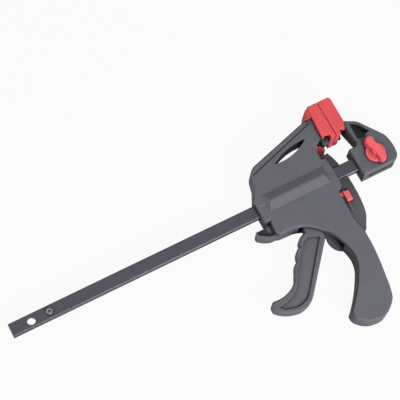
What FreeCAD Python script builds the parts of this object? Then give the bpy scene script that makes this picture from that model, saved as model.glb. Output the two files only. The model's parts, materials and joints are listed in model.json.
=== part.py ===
"""One handed quick release bar clamp, lying on its far side, in millimetres.

X runs along the bar from its free end to the fixed jaw, Y points to the tips of the jaws and Z is the
thickness. The origin is the centre of the hole in the free end of the bar.
"""
import FreeCAD, Part
import math
import os

import Sketcher
from FreeCAD import Vector
from types import SimpleNamespace

os.makedirs("parts", exist_ok=True)

# Driving sizes
SIZES = {
    # bar
    "bar_height": 9.5,
    "bar_thickness": 5.0,
    "bar_bevel": 0.8,
    "bar_free_margin": 14.5,
    "bar_jaw_margin": 10.5,
    "bar_hole_diameter": 5.8,
    "stop_pin_offset": 13.0,
    "stop_pin_diameter": 4.2,
    "stop_pin_bore": 2.2,
    "stop_pin_stand": 1.5,
    "jaw_travel": 150.0,
    "travel_spare": 1.9,
    # clearances
    "slide_gap": 0.2,
    "fit_gap": 0.1,
    "pin_gap": 0.05,
    "seat_gap": 0.2,
    "overrun": 1.0,
    # housing shells
    "body_length": 56.5,
    "body_half": 7.3,
    "wall": 2.0,
    "end_wall": 2.2,
    "front_wall": 2.6,
    "edge_round": 0.9,
    "jaw_overhang": 16.8,
    "jaw_reach": 47.2,
    "grip_drop": 102.3,
    "chamber_drop": 7.4,
    "ridge_rise": 2.4,
    "ridge_width": 15.2,
    "ridge_lift": 1.2,
    "ridge_crest": 1.2,
    "ridge_back_slope": 3.6,
    "ridge_front_slope": 2.2,
    "groove_width": 0.9,
    "groove_depth": 0.6,
    "slot_width": 5.6,
    "collar_rise": 3.5,
    "fin_half": 2.4,
    "thumb_reach": 11.1,
    "thumb_half": 3.5,
    "thumb_top_gap": 1.4,
    "hook_reach": 8.0,
    "hook_half": 4.3,
    "hook_web_half": 1.7,
    # screws
    "screw_diameter": 2.9,
    "screw_head_diameter": 5.4,
    "screw_head_height": 2.0,
    "screw_grip": 4.0,
    "screw_socket_width": 2.0,
    "screw_socket_depth": 1.2,
    # pads
    "pad_plate": 3.8,
    "pad_half": 10.3,
    "pad_cap": 2.3,
    "pad_flange": 6.2,
    "pad_foot": 22.2,
    "pad_flange_foot": 24.0,
    "pad_round": 0.9,
    "hood_half": 8.7,
    # fixed jaw
    "fixed_jaw_length": 29.1,
    "fixed_jaw_hole": 14.7,
    "fixed_jaw_foot": 10.8,
    "fixed_jaw_web_half": 2.2,
    "fixed_slit_half": 1.4,
    "fixed_slit_depth": 3.6,
    # lock knob
    "knob_diameter": 14.0,
    "knob_disc_height": 1.7,
    "knob_lift": 0.2,
    "knob_hub_diameter": 9.0,
    "knob_wing_length": 20.6,
    "knob_wing_width": 8.4,
    "knob_wing_height": 5.8,
    "knob_wing_slope": 1.4,
    "knob_wing_turn": 15.0,
    "lock_pin_diameter": 5.4,
    "lock_pin_length": 6.6,
    "lock_pin_below": 2.4,
    "lock_wire": 0.5,
    "lock_coils": 3,
    # trigger
    "pivot_drop": 17.0,
    "pivot_pin_diameter": 4.0,
    "eye_radius": 4.6,
    "arm_height": 8.0,
    "arm_offset": 2.1,
    "arm_width": 3.5,
    "trigger_half": 4.5,
    "trigger_drop": 56.9,
    "trigger_sweep": 51.0,
    "trigger_panel_depth": 1.2,
    # plates
    "plate_thickness": 2.4,
    "plate_half": 4.9,
    "plate_top": 8.5,
    "plate_foot": 11.5,
    "arm_gap": 0.3,
    # springs on the bar and on the brake plate
    "drive_wire": 1.3,
    "drive_coil_radius": 6.4,
    "drive_coils": 6,
    "brake_wire": 0.8,
    "brake_coil_radius": 2.2,
    "brake_coils": 4,
    "brake_spring_drop": 10.6,
    "brake_boss_gap": 7.0,
    # brake plate
    "brake_pivot_rise": 10.2,
    "brake_set_back": 7.0,
    "brake_length": 26.0,
    "brake_tilt": 8.0,
    # release button
    "button_drop": 13.7,
    "button_height": 8.4,
    "button_depth": 4.4,
    "button_half": 5.6,
    "button_travel": 3.2,
    "button_nose_height": 2.6,
    "button_nose_half": 3.6,
    "button_round": 0.5,
}

# Outlines, as shares of the sizes named in the functions that use them
JAW_SHARES = [(0.241, 0.608, 0.27), (0.119, 0.456, 0), (0.092, 0.328, 0), (0.004, 0.127, 0)]
GRIP_SHARES = [
    (0.0, 0.101, 0), (0.067, 0.106, 0), (0.053, 0.186, 0.3), (0.097, 0.218, 0),
    (0.265, 0.221, -0.14), (0.487, 0.275, -0.185), (0.743, 0.533, -0.185), (0.678, 0.668, -0.07),
    (0.37, 0.88, 0.28), (0.418, 0.953, 0.2), (0.602, 1.0, 0.2), (0.761, 0.985, 0.1),
    (0.894, 0.914, 0.06), (0.949, 0.785, 0.03), (1.009, 0.547, 0), (1.012, 0.44, 0),
    (0.965, 0.315, 0), (0.985, 0.262, 0), (0.98, 0.125, 0),
]
COLLAR_SHARES = [
    (0.1, -1.31, 0), (0.9, -1.05, 0), (1.0, -0.55, 0), (1.0, 0.32, 0), (0.83, 1.21, 0), (-0.05, 1.36, 0),
]
FIN_SHARES = [(0.93, 0.56), (0.79, 1.21), (0.64, 1.65)]
GRIP_CORE_SHARES = [
    (0.786, 0.56, -0.15), (0.725, 0.67, 0), (0.575, 0.8, 0), (0.47, 0.855, 0.2),
    (0.86, 0.865, 0.1), (0.905, 0.78, 0), (0.957, 0.57, 0.1),
]
JAW_CORE_SHARES = [
    (0.87, 0.28, 0), (0.87, 0.43, 0), (0.33, 0.43, 0), (0.33, 0.28, 0),
]
TRIGGER_SLOT_SHARES = [
    (0.336, 0.07, 0), (0.336, 0.32, 0), (0.66, 0.5, 0), (0.745, 0.455, 0), (0.79, 0.39, 0),
    (0.79, 0.2, 0), (0.664, 0.15, 0), (0.664, 0.07, 0),
]
THUMB_SHARES = [
    (-0.25, 0.42, 0), (0.08, 0.452, 0), (0.33, 0.425, -0.03), (0.74, 0.35, 0.05), (0.93, 0.263, 0.04),
    (1.0, 0.16, 0.02),
]
HOOK_SHARES = [
    (-0.3, 0.124, 0), (-0.93, 0.124, 0.15), (-1.17, 0.15, 0.1), (-1.15, 0.168, 0.12), (-0.1, 0.214, 0),
]
HOOK_INNER_SHARES = [(-0.05, 0.196, 0), (-0.9, 0.157, -0.1), (-0.97, 0.142, 0)]
TRIGGER_SHARES = [
    (-0.11, -0.123, 0), (-0.124, -0.185, 0), (-0.2, -0.211, 0.12), (-0.259, -0.253, 0.12),
    (-0.271, -0.313, -0.15), (-0.32, -0.327, 0.1), (-0.376, -0.38, 0.1), (-0.398, -0.445, -0.15),
    (-0.455, -0.478, 0.08), (-0.506, -0.555, 0.04), (-0.561, -0.643, -0.1), (-0.694, -0.733, -0.08),
    (-0.851, -0.768, 0), (-0.953, -0.761, 0.2), (-1.0, -0.801, 0.08), (-1.0, -0.861, 0.12),
    (-0.853, -0.961, 0.08), (-0.682, -1.0, 0.13), (-0.494, -0.947, 0.05), (-0.437, -0.896, 0),
    (0.059, -0.38, 0), (0.098, -0.322, 0), (0.104, -0.141, 0),
]
PANEL_SHARES = [
    (0.024, -0.315, 0), (-0.122, -0.258, 0), (-0.214, -0.292, 0), (-0.263, -0.367, 0),
    (-0.331, -0.404, 0), (-0.382, -0.483, 0), (-0.463, -0.552, 0), (-0.527, -0.657, -0.1),
    (-0.612, -0.756, -0.1), (-0.739, -0.824, -0.05), (-0.922, -0.859, 0), (-0.863, -0.912, 0.03),
    (-0.692, -0.951, 0.12), (-0.529, -0.907, 0.05), (-0.431, -0.814, 0),
]
FIXED_OUTLINE_SHARES = [
    (0.838, -1.0, 0.2), (0.975, -0.62, 0.15), (0.938, 0.197, 0), (0.564, 0.519, 0.12),
    (0.409, 0.589, 0), (0.189, 0.657, 0), (0.189, 1.0, 0),
    (0.0, 1.0, 0), (0.0, 0.58, 0), (0.17, 0.56, 0), (0.244, 0.339, 0), (0.265, 0.275, -0.3),
    (0.151, 0.216, 0), (0.0, 0.216, 0), (0.0, -1.0, 0),
]
FIXED_POCKET_SHARES = [
    (0.31, 0.56, 0), (0.305, 0.30, 0.0), (0.47, 0.282, -0.2), (0.66, 0.34, 0), (0.52, 0.48, 0.1),
    (0.40, 0.54, 0),
]
SCREW_SHARES = [(0.23, 0.36), (0.89, 0.35), (1.075, 0.76)]
GRIP_SCREW_SHARES = [(0.186, 0.142), (0.89, 0.5), (0.6, 0.915)]
THROAT_SHARES = [(0.0, 0.31, 0), (0.0, 0.39, -0.2), (0.36, 0.54, 0)]
TIP_BACK_SHARES = [(0.458, 1.0, 0), (0.268, 0.875, 0), (0.185, 0.894, 0)]
TIP_FOOT_SHARE = 0.6
HOOD_SHARES = [(0.185, 0.897, 0), (0.3, 0.88, 0)]
HOOD_TOP_SHARE = 0.42
HOOD_FOOT_SHARE = 0.9
LENS_SHARES = [(0.455, 0.489), (0.949, 0.642)]
GROOVE_LOW_SHARES = (0.163, 0.492)
GROOVE_HIGH_SHARES = (0.33, 0.843)
GUARD_LOBE_SHARES = [(0.62, 0.345, 0.41), (0.75, 0.48, 0), (0.8, 0.36, 0)]
HOOK_ROOT_SHARE = 0.12
HOOK_ROOT_TOP_SHARE = 0.106
HOOK_RIM_TOP_SHARE = 0.2
HOOK_ROOT_FOOT_SHARE = 0.218
RIDGE_START_SHARE = 0.115
PIVOT_SHARE = 0.487
BUTTON_SHARE = 0.12
FIXED_SLIT_SHARE = 0.16
EYE_SHOULDER_SHARE = 0.85

# Two places that are closer than this are one
SAME_PLACE = 1e-6


class Size:
    """A number that remembers the sheet expression it came from."""

    def __init__(self, value, text):
        self.value = float(value)
        self.text = text

    def __add__(self, other):
        other = as_size(other)
        return Size(self.value + other.value, f"({self.text} + {other.text})")

    def __sub__(self, other):
        other = as_size(other)
        return Size(self.value - other.value, f"({self.text} - {other.text})")

    def __mul__(self, other):
        other = as_size(other)
        return Size(self.value * other.value, f"({self.text} * {other.text})")

    def __truediv__(self, other):
        other = as_size(other)
        return Size(self.value / other.value, f"({self.text} / {other.text})")

    def __radd__(self, other):
        return as_size(other) + self

    def __rsub__(self, other):
        return as_size(other) - self

    def __rmul__(self, other):
        return as_size(other) * self

    def __neg__(self):
        return Size(-self.value, f"(0 - {self.text})")


def as_size(thing):
    if isinstance(thing, Size):
        return thing
    return Size(thing, f"({float(thing):.6f})")


def root(size):
    return Size(math.sqrt(size.value), f"sqrt({size.text})")


def sine(size):
    return Size(math.sin(math.radians(size.value)), f"sin({size.text} * 1deg)")


def cosine(size):
    return Size(math.cos(math.radians(size.value)), f"cos({size.text} * 1deg)")


ZERO = as_size(0)

doc = FreeCAD.newDocument("QuickBarClamp")
sheet = doc.addObject("Spreadsheet::Sheet", "Sizes")
for row, (alias, value) in enumerate(SIZES.items(), start=1):
    sheet.set(f"A{row}", alias)
    sheet.set(f"B{row}", str(value))
    sheet.setAlias(f"B{row}", alias)
doc.recompute()
S = SimpleNamespace(**{alias: Size(getattr(sheet, alias), f"Sizes.{alias}") for alias in SIZES})


def bind(thing, name, size):
    """Gives a property its value and ties it to the sheet."""
    size = as_size(size)
    thing.setExpression(name, size.text)


# Sketch and feature helpers
def new_body(label):
    body = doc.addObject("PartDesign::Body", label)
    body.Label = label
    return body


def new_sketch(body, name, plane, start):
    """A sketch on one of the body's own planes, moved along the plane's normal by start."""
    sketch = body.newObject("Sketcher::SketchObject", name)
    origin_plane = next(item for item in body.Origin.OriginFeatures if item.Role == plane)
    sketch.AttachmentSupport = [(origin_plane, "")]
    sketch.MapMode = "FlatFace"
    sketch.AttachmentOffset = FreeCAD.Placement(Vector(0, 0, as_size(start).value), FreeCAD.Rotation())
    bind(sketch, "AttachmentOffset.Base.z", start)
    return sketch


def place_point(sketch, piece, end, x, y):
    """Holds one end, or the centre, of a sketch piece at the named place."""
    across = sketch.addConstraint(Sketcher.Constraint("DistanceX", -1, 1, piece, end, x.value))
    bind(sketch, f"Constraints[{across}]", x)
    up = sketch.addConstraint(Sketcher.Constraint("DistanceY", -1, 1, piece, end, y.value))
    bind(sketch, f"Constraints[{up}]", y)


def draw_circle(sketch, x, y, radius):
    circle = Part.Circle(Vector(x.value, y.value, 0), Vector(0, 0, 1), radius.value)
    piece = sketch.addGeometry(circle)
    place_point(sketch, piece, 3, x, y)
    size = sketch.addConstraint(Sketcher.Constraint("Radius", piece, radius.value))
    bind(sketch, f"Constraints[{size}]", radius)


def draw_arc(sketch, first, last, bulge):
    """An arc between two points; bulge is the tangent of a quarter of its turn, positive to the left."""
    across = last[0] - first[0]
    up = last[1] - first[1]
    radius = root(across * across + up * up) * ((1 + bulge * bulge) / (4 * abs(bulge)))
    reach = (1 - bulge * bulge) / (4 * bulge)
    centre_x = (first[0].value + last[0].value) / 2 - up.value * reach
    centre_y = (first[1].value + last[1].value) / 2 + across.value * reach
    angles = [math.atan2(point[1].value - centre_y, point[0].value - centre_x) for point in (first, last)]
    if bulge < 0:
        angles.reverse()
    circle = Part.Circle(Vector(centre_x, centre_y, 0), Vector(0, 0, 1), radius.value)
    piece = sketch.addGeometry(Part.ArcOfCircle(circle, angles[0], angles[1]))
    size = sketch.addConstraint(Sketcher.Constraint("Radius", piece, radius.value))
    bind(sketch, f"Constraints[{size}]", radius)
    return piece, (1, 2) if bulge > 0 else (2, 1)


def draw_outline(sketch, points):
    """A closed outline through (x, y, bulge) points, each bulge belonging to the piece that follows."""
    points = [(as_size(point[0]), as_size(point[1]), point[2] if len(point) > 2 else 0) for point in points]
    pieces = []
    for index, first in enumerate(points):
        last = points[(index + 1) % len(points)]
        if first[2]:
            pieces.append(draw_arc(sketch, first, last, first[2]))
        else:
            ends = [Vector(point[0].value, point[1].value, 0) for point in (first, last)]
            pieces.append((sketch.addGeometry(Part.LineSegment(*ends)), (1, 2)))
    for index, (piece, ends) in enumerate(pieces):
        follower, follower_ends = pieces[(index + 1) % len(pieces)]
        sketch.addConstraint(Sketcher.Constraint("Coincident", piece, ends[1], follower, follower_ends[0]))
        place_point(sketch, piece, ends[0], points[index][0], points[index][1])


def draw(sketch, loops):
    for loop in loops:
        if loop[0] == "circle":
            draw_circle(sketch, *[as_size(item) for item in loop[1:]])
        else:
            draw_outline(sketch, loop)


def box_loop(low_x, low_y, high_x, high_y):
    return [(low_x, low_y), (high_x, low_y), (high_x, high_y), (low_x, high_y)]


def slab(body, name, plane, start, length, loops):
    """Adds the area inside the loops, from start along the plane's normal over length."""
    sketch = new_sketch(body, name + "_sketch", plane, start)
    draw(sketch, loops)
    pad = body.newObject("PartDesign::Pad", name)
    pad.Profile = sketch
    bind(pad, "Length", length)
    doc.recompute()
    return pad


def cut(body, name, plane, start, length, loops):
    """Takes the area inside the loops away, from start along the plane's normal over length."""
    before = body.Shape.Volume
    sketch = new_sketch(body, name + "_sketch", plane, start)
    draw(sketch, loops)
    pocket = body.newObject("PartDesign::Pocket", name)
    pocket.Profile = sketch
    pocket.Reversed = True
    bind(pocket, "Length", length)
    doc.recompute()
    if not body.Shape.Volume < before:
        raise RuntimeError(f"{name} takes nothing away from {body.Label}")
    return pocket


def edges_where(feature, test):
    """Names of the edges whose two ends and middle all pass the test."""
    names = []
    for number, edge in enumerate(feature.Shape.Edges, start=1):
        middle = edge.valueAt((edge.FirstParameter + edge.LastParameter) / 2)
        if all(test(point) for point in [vertex.Point for vertex in edge.Vertexes] + [middle]):
            names.append(f"Edge{number}")
    return names


def inset(points, depth):
    """The same outline moved inwards by depth, corner by corner."""
    spots = [(as_size(point[0]).value, as_size(point[1]).value) for point in points]
    ways = []
    area = 0
    for index, point in enumerate(points):
        first = spots[index]
        last = spots[(index + 1) % len(spots)]
        area += first[0] * last[1] - first[1] * last[0]
        way = math.atan2(last[1] - first[1], last[0] - first[0])
        swing = 2 * math.atan(point[2] if len(point) > 2 else 0)
        ways.append((way - swing, way + swing))
    side = 1 if area > 0 else -1
    moved = []
    for index, point in enumerate(points):
        before = ways[index - 1][1]
        after = ways[index][0]
        spread = 1 + math.cos(after - before)
        shift_x = -side * (math.sin(before) + math.sin(after)) / spread
        shift_y = side * (math.cos(before) + math.cos(after)) / spread
        bulge = point[2] if len(point) > 2 else 0
        moved.append((as_size(point[0]) + depth * shift_x, as_size(point[1]) + depth * shift_y, bulge))
    return moved


def bevelled_edge(body, name, low, high, points, depth):
    """A sloped rim that narrows the outline by depth between the levels low and high."""
    wide = new_sketch(body, name + "_wide", "XY_Plane", low)
    draw_outline(wide, points)
    narrow = new_sketch(body, name + "_narrow", "XY_Plane", high)
    draw_outline(narrow, inset(points, depth))
    rim = body.newObject("PartDesign::AdditiveLoft", name)
    rim.Profile = wide
    rim.Sections = [narrow]
    rim.Ruled = True
    doc.recompute()
    return rim


def add_bevelled_slab(body, half, slope, points):
    """A slab about the middle plane with a sloped rim on both faces."""
    flat = half - slope
    slab(body, "blank", "XY_Plane", -flat, flat * 2, [points])
    bevelled_edge(body, "near_slope", flat, half, points, slope)
    bevelled_edge(body, "far_slope", -flat, -half, points, slope)


def dress(body, kind, name, feature, names, property_name, size):
    """A fillet or a chamfer on the named edges."""
    finish = body.newObject(f"PartDesign::{kind}", name)
    finish.Base = (feature, names)
    bind(finish, property_name, size)
    doc.recompute()
    return finish


def near(first, second):
    return abs(first - second) < SAME_PLACE


# Places along the bar that several pieces share
HALF_BAR = S.bar_height / 2
HALF_BAR_THICKNESS = S.bar_thickness / 2
BACK = S.stop_pin_offset + S.stop_pin_diameter / 2 + S.jaw_travel + S.travel_spare
FRONT = BACK + S.body_length
CLAMP = FRONT + S.jaw_overhang
FIXED_FACE = CLAMP + S.pad_plate
KNOB = FIXED_FACE + S.fixed_jaw_hole
BAR_END = KNOB + S.bar_jaw_margin
TIP_FACE = CLAMP - S.pad_plate
PIVOT = BACK + S.body_length * PIVOT_SHARE
PLATE_FACE = PIVOT + S.arm_offset - S.arm_gap
BRAKE = FRONT - S.brake_set_back
BUTTON = FRONT + S.thumb_reach * BUTTON_SHARE


def body_x(share):
    return BACK + S.body_length * share


def tip_x(share):
    return FRONT + S.jaw_overhang * share


def jaw_y(share):
    return S.jaw_reach * share


def grip_y(share):
    return -(S.grip_drop * share)


# Bar
def make_bar():
    body = new_body("slide_bar")
    plate = slab(body, "plate", "XY_Plane", -HALF_BAR_THICKNESS, S.bar_thickness,
                 [box_loop(-S.bar_free_margin, -HALF_BAR, BAR_END, HALF_BAR)])
    long_edges = edges_where(plate, lambda p: near(abs(p.y), HALF_BAR.value)
                             and near(abs(p.z), HALF_BAR_THICKNESS.value))
    dress(body, "Chamfer", "bevel", plate, long_edges, "Size", S.bar_bevel)
    radius = S.bar_hole_diameter / 2
    pin_radius = S.stop_pin_diameter / 2 + S.fit_gap / 10
    cut(body, "holes", "XY_Plane", -S.bar_thickness, S.bar_thickness * 2,
        [("circle", ZERO, ZERO, radius), ("circle", KNOB, ZERO, radius),
         ("circle", S.stop_pin_offset, ZERO, pin_radius)])
    return body


def make_stop_pin():
    body = new_body("bar_stop_pin")
    reach = HALF_BAR_THICKNESS + S.stop_pin_stand
    slab(body, "tube", "XY_Plane", -reach, reach * 2,
         [("circle", S.stop_pin_offset, ZERO, S.stop_pin_diameter / 2),
          ("circle", S.stop_pin_offset, ZERO, S.stop_pin_bore / 2)])
    return body


# Moving jaw: two shells
def housing_loop():
    collar = [(FRONT + S.collar_rise * u, S.bar_height * v, bulge) for u, v, bulge in COLLAR_SHARES]
    throat = [(tip_x(u), jaw_y(v), bulge) for u, v, bulge in THROAT_SHARES]
    tip_face = [(TIP_FACE, jaw_y(TIP_FOOT_SHARE), 0), (TIP_FACE, S.jaw_reach, 0)]
    tip_back = [(tip_x(u), jaw_y(v), bulge) for u, v, bulge in TIP_BACK_SHARES]
    jaw_back = [(body_x(u), jaw_y(v), bulge) for u, v, bulge in JAW_SHARES]
    grip = [(body_x(u), grip_y(v), bulge) for u, v, bulge in GRIP_SHARES]
    return collar + throat + tip_face + tip_back + jaw_back + grip


def housing_span(side, depth):
    """Start and length of a layer that reaches from the parting plane into one shell."""
    return (ZERO, depth) if side > 0 else (-depth, depth)


def skin_span(side, low, high):
    """Start and length of a layer between two distances from the parting plane."""
    return (low, high - low) if side > 0 else (-high, high - low)


def add_ridge(body, side):
    """The long roof over the bar, with sloped ends, which leaves room for the drive spring."""
    base = side * (S.body_half - S.wall / 4)
    crest = side * (S.body_half + S.ridge_rise)
    low = S.ridge_lift - S.ridge_width / 2
    high = S.ridge_lift + S.ridge_width / 2
    start = body_x(RIDGE_START_SHARE)
    end = FRONT - S.front_wall
    roof = [(low, base, 0), (high, base, 0), (S.ridge_lift + S.ridge_crest / 2, crest, 0),
            (S.ridge_lift - S.ridge_crest / 2, crest, 0)]
    slab(body, "ridge", "YZ_Plane", start, end - start, [roof])
    skin = side * S.body_half
    clear = crest + side * S.overrun
    back_slope = [(start - S.overrun, skin, 0), (start, skin, 0), (start + S.ridge_back_slope, crest, 0),
                  (start + S.ridge_back_slope, clear, 0), (start - S.overrun, clear, 0)]
    front_slope = [(end + S.overrun, skin, 0), (end, skin, 0), (end - S.ridge_front_slope, crest, 0),
                   (end - S.ridge_front_slope, clear, 0), (end + S.overrun, clear, 0)]
    for name, loop in (("ridge_back", back_slope), ("ridge_front", front_slope)):
        cut(body, name, "XZ_Plane", -(high + S.overrun), S.ridge_width + S.overrun * 2, [loop])


def add_guard_lobe(body):
    """The round lobe of the far wall beside the trigger's way."""
    lobe = [(body_x(u), grip_y(v), bulge) for u, v, bulge in GUARD_LOBE_SHARES]
    slab(body, "guard_lobe", "XY_Plane", -S.body_half, S.wall, [lobe])


def cut_front_way(body, side):
    """Room for the release button, which slides in through the front wall and the thumb rest."""
    left = BUTTON - S.button_travel - S.fit_gap * 3
    low = -(S.button_drop + S.button_height + S.fit_gap * 2)
    high = -(S.button_drop - S.fit_gap * 2)
    cut(body, "button_way", "XY_Plane", *housing_span(side, S.button_half + S.fit_gap * 2),
        [box_loop(left, low, BUTTON + S.button_depth + S.fit_gap * 2, high)])
    nose_low = -(S.button_drop + S.button_nose_height + S.fit_gap * 2)
    cut(body, "nose_way", "XY_Plane", *housing_span(side, S.button_nose_half + S.fit_gap * 2),
        [box_loop(BRAKE - S.overrun, nose_low, BUTTON, high)])


def make_housing(label, side):
    """One shell; side is 1 for the near one and -1 for the far one."""
    body = new_body(label)
    slab(body, "shell", "XY_Plane", *housing_span(side, S.body_half - S.edge_round), [housing_loop()])
    bevelled_edge(body, "rim_slope", side * (S.body_half - S.edge_round), side * S.body_half,
                  housing_loop(), S.edge_round)

    thumb = [(FRONT + S.thumb_reach * u, grip_y(v), bulge) for u, v, bulge in THUMB_SHARES]
    thumb_top = -(HALF_BAR + S.thumb_top_gap)
    thumb += [(FRONT + S.thumb_reach, thumb_top, 0), (thumb[0][0], thumb_top, 0)]
    slab(body, "thumb_rest", "XY_Plane", *housing_span(side, S.thumb_half), [thumb])
    fin_foot = HALF_BAR + S.slide_gap
    fin = [(FRONT + S.thumb_reach * u, S.bar_height * v, 0) for u, v in FIN_SHARES]
    fin = [(FRONT, fin_foot, 0), (fin[0][0], fin_foot, 0)] + fin + [(FRONT, fin[-1][1], 0)]
    slab(body, "fin", "XY_Plane", *housing_span(side, S.fin_half), [fin])

    outer = [(BACK + S.hook_reach * u, grip_y(v), bulge) for u, v, bulge in HOOK_SHARES]
    inner = [(BACK + S.hook_reach * u, grip_y(v), bulge) for u, v, bulge in HOOK_INNER_SHARES]
    root_x = body_x(HOOK_ROOT_SHARE)
    foot = (root_x, grip_y(HOOK_ROOT_FOOT_SHARE), 0)
    web = [(root_x, grip_y(HOOK_ROOT_TOP_SHARE), 0)] + outer + [foot]
    slab(body, "hook_web", "XY_Plane", *housing_span(side, S.hook_web_half), [web])
    rim = outer[1:] + [foot, (root_x, grip_y(HOOK_RIM_TOP_SHARE), 0)] + inner
    slab(body, "hook_rim", "XY_Plane", *housing_span(side, S.hook_half), [rim])
    add_ridge(body, side)
    if side < 0:
        add_guard_lobe(body)

    depth = S.body_half - S.wall
    chamber_top = S.plate_top + S.overrun
    chamber_end = FRONT - S.front_wall
    cut(body, "chamber", "XY_Plane", *housing_span(side, depth),
        [box_loop(BACK + S.end_wall, -S.chamber_drop, chamber_end, chamber_top)])
    cut(body, "trigger_way", "XY_Plane", *housing_span(side, depth),
        [[(body_x(u), grip_y(v), bulge) for u, v, bulge in TRIGGER_SLOT_SHARES]])
    brake_low = -(S.brake_length - S.brake_pivot_rise + S.overrun)
    spring_seat = BRAKE - S.plate_thickness - S.brake_boss_gap
    cut(body, "brake_way", "XY_Plane", *housing_span(side, depth),
        [box_loop(spring_seat, brake_low, chamber_end - S.fit_gap, -S.chamber_drop + S.overrun)])
    cut(body, "brake_notch", "XY_Plane", *housing_span(side, depth),
        [box_loop(BRAKE - S.plate_thickness - S.seat_gap * 2, chamber_top - S.overrun,
                  BRAKE + S.seat_gap, S.brake_pivot_rise + S.seat_gap)])
    cut_front_way(body, side)
    bar_side = HALF_BAR_THICKNESS + S.slide_gap
    bar_edge = HALF_BAR + S.slide_gap
    cut(body, "bar_way", "XY_Plane", *housing_span(side, bar_side),
        [box_loop(BACK - S.overrun, -bar_edge, FRONT + S.collar_rise + S.overrun, bar_edge)])
    spring_room = S.drive_coil_radius + S.drive_wire / 2 + S.seat_gap
    quarter = side * math.tan(math.pi / 8)
    half_disc = [(spring_room, ZERO, quarter), (ZERO, side * spring_room, quarter), (-spring_room, ZERO, 0)]
    cut(body, "spring_room", "YZ_Plane", BACK + S.end_wall, PLATE_FACE - BACK - S.end_wall,
        [half_disc])
    cut(body, "grip_core", "XY_Plane", *housing_span(side, depth),
        [[(body_x(u), grip_y(v), bulge) for u, v, bulge in GRIP_CORE_SHARES]])
    cut(body, "jaw_core", "XY_Plane", *housing_span(side, depth),
        [[(body_x(u), jaw_y(v), bulge) for u, v, bulge in JAW_CORE_SHARES]])
    cut_lens(body, side)
    cut_groove(body, side)
    cut_pivot(body, side)
    cut_screw_holes(body, side)
    return body


def cut_lens(body, side):
    """The lens shaped slot through the jaw."""
    first, last = [(body_x(u), jaw_y(v)) for u, v in LENS_SHARES]
    across = last[0].value - first[0].value
    up = last[1].value - first[1].value
    bulge = S.slot_width.value / math.hypot(across, up)
    loop = [(first[0], first[1], bulge), (last[0], last[1], bulge)]
    cut(body, "lens_slot", "XY_Plane", *housing_span(side, S.body_half + S.overrun), [loop])


def cut_groove(body, side):
    """The thin groove that sets off the rim along the back of the jaw."""
    low = (body_x(GROOVE_LOW_SHARES[0]), jaw_y(GROOVE_LOW_SHARES[1]))
    high = (tip_x(GROOVE_HIGH_SHARES[0]), jaw_y(GROOVE_HIGH_SHARES[1]))
    width = S.groove_width
    loop = [(low[0], low[1] - width, 0), (high[0], high[1] - width, 0), high + (0,), low + (0,)]
    cut(body, "rim_groove", "XY_Plane",
        *skin_span(side, S.body_half - S.groove_depth, S.body_half + S.overrun), [loop])


def cut_pivot(body, side):
    """The blind bore that holds one end of the trigger's pivot pin."""
    radius = S.pivot_pin_diameter / 2 + S.pin_gap / 2
    cut(body, "pivot_bore", "XY_Plane", *housing_span(side, S.body_half - S.wall / 2),
        [("circle", PIVOT, -S.pivot_drop, radius)])


def screw_places():
    places = [(body_x(u), jaw_y(v)) for u, v in SCREW_SHARES]
    places += [(body_x(u), grip_y(v)) for u, v in GRIP_SCREW_SHARES]
    return places


def cut_screw_holes(body, side):
    """Clearance holes with head seats in the far shell, blind thread holes in the near one."""
    places = screw_places()
    radius = S.screw_diameter / 2 + S.pin_gap
    length = S.screw_grip + S.seat_gap if side > 0 else S.body_half + S.overrun
    cut(body, "screw_holes", "XY_Plane", *housing_span(side, length),
        [("circle", x, y, radius) for x, y in places])
    if side < 0:
        head = S.screw_head_diameter / 2 + S.fit_gap
        seat = S.body_half - S.screw_head_height - S.seat_gap
        cut(body, "head_seats", "XY_Plane", *skin_span(side, seat, S.body_half + S.overrun),
            [("circle", x, y, head) for x, y in places])


def make_screws():
    """The screws of the two shells, as one group."""
    screws = []
    seat = S.body_half - S.screw_head_height - S.seat_gap
    for number, (x, y) in enumerate(screw_places(), start=1):
        shank = doc.addObject("Part::Cylinder", f"screw_shank_{number}")
        bind(shank, "Radius", S.screw_diameter / 2)
        bind(shank, "Height", seat + S.screw_grip)
        bind(shank, "Placement.Base.z", -seat)
        head = doc.addObject("Part::Cylinder", f"screw_head_{number}")
        bind(head, "Radius", S.screw_head_diameter / 2)
        bind(head, "Height", S.screw_head_height)
        bind(head, "Placement.Base.z", -(seat + S.screw_head_height))
        socket = doc.addObject("Part::Prism", f"screw_socket_{number}")
        socket.Polygon = 6
        bind(socket, "Circumradius", S.screw_socket_width / 2)
        bind(socket, "Height", S.screw_socket_depth)
        bind(socket, "Placement.Base.z", -(seat + S.screw_head_height))
        for piece in (shank, head, socket):
            bind(piece, "Placement.Base.x", x)
            bind(piece, "Placement.Base.y", y)
        blank = doc.addObject("Part::Fuse", f"screw_blank_{number}")
        blank.Base = head
        blank.Tool = shank
        screw = doc.addObject("Part::Cut", f"screw_{number}")
        screw.Base = blank
        screw.Tool = socket
        screws.append(screw)
    group = doc.addObject("Part::Compound", "housing_screws")
    group.Label = "housing_screws"
    group.Links = screws
    return group


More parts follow.
